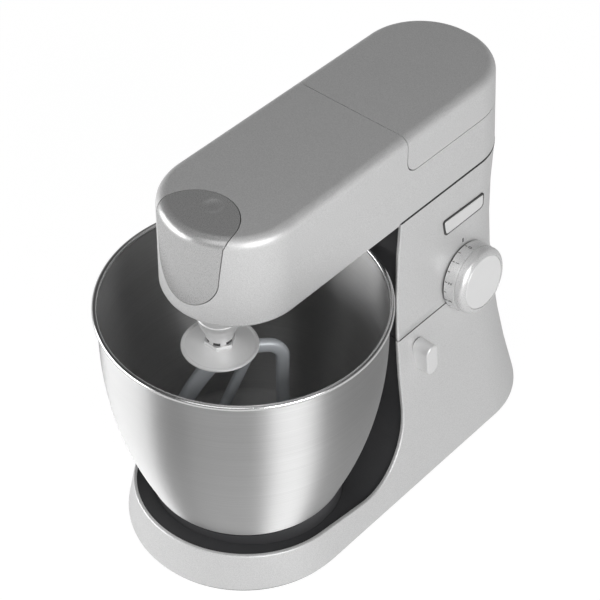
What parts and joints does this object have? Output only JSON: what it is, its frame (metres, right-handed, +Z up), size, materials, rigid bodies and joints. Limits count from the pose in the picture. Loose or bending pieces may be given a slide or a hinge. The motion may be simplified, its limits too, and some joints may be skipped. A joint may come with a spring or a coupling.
{
  "type": "stand mixer",
  "caption": "Stand mixer with a tilting head, planetary beater, brushed steel bowl, speed knob, release lever and lift-off outlet covers on a flared silver base.",
  "frame": {"origin": "centre of the bounding box on the floor", "axes": "+Z up, -Y the front where the bowl stands, +X the side with the speed knob"},
  "size_m": [0.245, 0.434, 0.3605],
  "materials": {
    "silver_paint": "satin silver metallic paint",
    "silver_plastic": "satin silver moulding",
    "charcoal": "matte charcoal moulding",
    "black_rubber": "matte",
    "bowl_steel": "fine brushed",
    "tool_cast": "satin cast",
    "steel": "machined",
    "chrome": "polished",
    "cast": "as cast",
    "alloy": "die cast",
    "brass": "turned",
    "lamination": "stacked sheet",
    "copper": "wound wire, varnished",
    "nylon": "moulded",
    "board": "circuit board",
    "belt_rubber": "ribbed"
  },
  "bodies": {
    "base": {"pedestal_shell": "silver_paint", "base_liner": "charcoal", "base_plate": "charcoal", "rubber_feet": "black_rubber", "cord_gland": "charcoal", "column_top_plate": "charcoal", "hinge_frame": "cast", "hinge_pin": "steel", "bowl_seat": "charcoal"},
    "head": {"motor_housing": "silver_paint", "column_panel": "charcoal", "latch_keeper": "steel", "chassis": "alloy", "hinge_bushes": "brass", "motor_stator": "lamination", "field_coils": "copper", "motor_bracket": "steel", "motor_bearings": "steel", "brush_holders": "nylon", "drive_belt": "belt_rubber", "head_shell": "silver_paint", "front_outlet_recess": "charcoal", "front_outlet_bush": "alloy", "rear_outlet_deck": "charcoal", "head_tray": "silver_plastic", "ring_gear": "steel", "gearbox_plate": "alloy", "gearbox_bridge": "alloy", "gearbox_bearings": "steel", "speed_sensor": "nylon", "dial_ring": "charcoal", "badge_plate": "chrome", "control_board": "board"},
    "rotor": {"motor_shaft": "steel", "rotor_core": "lamination", "commutator": "copper", "motor_fan": "nylon", "motor_pulley": "alloy", "rear_outlet_coupling": "nylon"},
    "drive": {"drive_shaft": "steel", "drive_pulley": "alloy", "drive_pinion": "steel"},
    "planetary": {"planetary_hub": "alloy", "main_gear": "nylon", "spindle_bushes": "brass"},
    "tool": {"tool_spindle": "steel", "planet_pinion": "nylon", "tool_socket": "steel", "lock_nut": "steel", "splash_disc": "tool_cast", "beater": "tool_cast"},
    "knob": {"speed_knob": "silver_plastic", "knob_cap": "chrome"},
    "rear_cover": {"rear_outlet_cover": "silver_paint"},
    "front_cover": {"front_outlet_cover": "silver_plastic"},
    "lever": {"release_lever": "silver_plastic", "lever_shaft": "steel", "latch_cam": "steel"},
    "bowl": {"bowl": "bowl_steel", "bowl_foot": "bowl_steel"}
  },
  "joints": [
    {"name": "head_tilt", "type": "hinge", "parent": "base", "child": "head", "pos_m": [0, 0.1605, 0.166], "axis": [-1, 0, 0], "range_deg": [0, 45]},
    {"name": "planetary_spin", "type": "hinge", "parent": "head", "child": "planetary", "pos_m": [0, -0.0945, 0.29], "axis": [0, 0, 1], "continuous": true},
    {"name": "tool_spin", "type": "hinge", "parent": "planetary", "child": "tool", "pos_m": [0.01001, -0.13323, 0.27], "axis": [0, 0, 1], "continuous": true},
    {"name": "drive_spin", "type": "hinge", "parent": "head", "child": "drive", "pos_m": [0, -0.0325, 0.31], "axis": [0, 0, 1], "continuous": true},
    {"name": "motor_spin", "type": "hinge", "parent": "head", "child": "rotor", "pos_m": [0, 0.1105, 0.22], "axis": [0, 0, 1], "continuous": true},
    {"name": "knob_turn", "type": "hinge", "parent": "head", "child": "knob", "pos_m": [0.06749, 0.1151, 0.1702], "axis": [0.9924, 0, 0.1231], "range_deg": [-40, 250]},
    {"name": "rear_cover_lift", "type": "slide", "parent": "head", "child": "rear_cover", "axis": [0, 0, 1], "range_m": [0, 0.08]},
    {"name": "front_cover_lift", "type": "slide", "parent": "head", "child": "front_cover", "axis": [0, 0, 1], "range_m": [0, 0.09]},
    {"name": "lever_turn", "type": "hinge", "parent": "base", "child": "lever", "pos_m": [0.06, 0.04853, 0.13295], "axis": [-1, 0, 0], "range_deg": [0, 25], "stiffness_Nm_per_rad": 0.3},
    {"name": "bowl_twist", "type": "hinge", "parent": "base", "child": "bowl", "pos_m": [0, -0.0945, 0.045], "axis": [0, 0, 1], "range_deg": [0, 40]}
  ],
  "couplings": [
    {"joint": "tool_spin", "follows": "planetary_spin", "ratio": -4.3333},
    {"joint": "drive_spin", "follows": "planetary_spin", "ratio": -4.1667},
    {"joint": "motor_spin", "follows": "planetary_spin", "ratio": -16.667}
  ]
}
